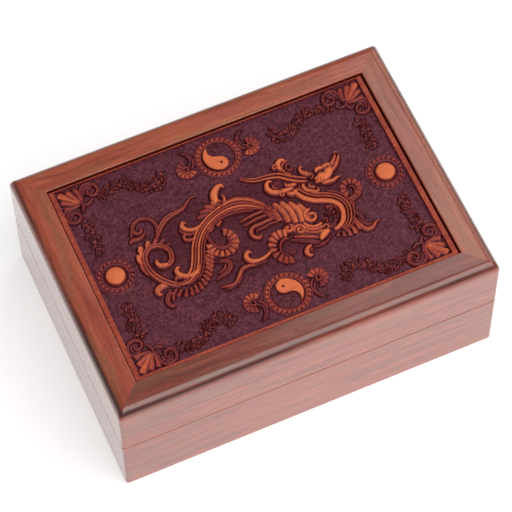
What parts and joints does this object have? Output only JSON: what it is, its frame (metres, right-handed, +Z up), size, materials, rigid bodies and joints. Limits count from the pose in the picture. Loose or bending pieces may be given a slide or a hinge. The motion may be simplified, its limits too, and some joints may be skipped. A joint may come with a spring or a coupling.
{
  "type": "tarot card box",
  "caption": "Mitred hardwood box with a deep hinged lid, rounded top edges and a carved tile sunk in the lid, for a deck of tarot cards.",
  "frame": {"origin": "centre of the box's underside, on the surface that it stands on", "axes": "+X along the box's front to the right as seen from the front, +Y from the front to the hinges at the back, +Z up"},
  "size_m": [0.178, 0.1274, 0.067],
  "materials": {
    "rosewood": "semi-gloss lacquer over reddish-brown rosewood",
    "carved_wood": "orange-brown carving over a dark stained ground, satin lacquer",
    "thin_board": "thin brown board, matt",
    "brass": "polished, slightly dulled"
  },
  "bodies": {
    "base": {"base_front_wall": "rosewood", "base_right_wall": "rosewood", "base_back_wall": "rosewood", "base_left_wall": "rosewood", "base_bottom_board": "thin_board", "left_hinge_base_leaf": "brass", "left_hinge_pin": "brass", "left_hinge_base_screws": "brass", "right_hinge_base_leaf": "brass", "right_hinge_pin": "brass", "right_hinge_base_screws": "brass"},
    "lid": {"lid_front_wall": "rosewood", "lid_right_wall": "rosewood", "lid_back_wall": "rosewood", "lid_left_wall": "rosewood", "lid_backing_board": "thin_board", "carved_tile": "carved_wood", "left_hinge_lid_leaf": "brass", "left_hinge_lid_screws": "brass", "right_hinge_lid_leaf": "brass", "right_hinge_lid_screws": "brass"}
  },
  "joints": [
    {"name": "lid_hinge", "type": "hinge", "parent": "base", "child": "lid", "pos_m": [0, 0.06115, 0.0357], "axis": [-1, 0, 0], "range_deg": [0, 95]}
  ]
}
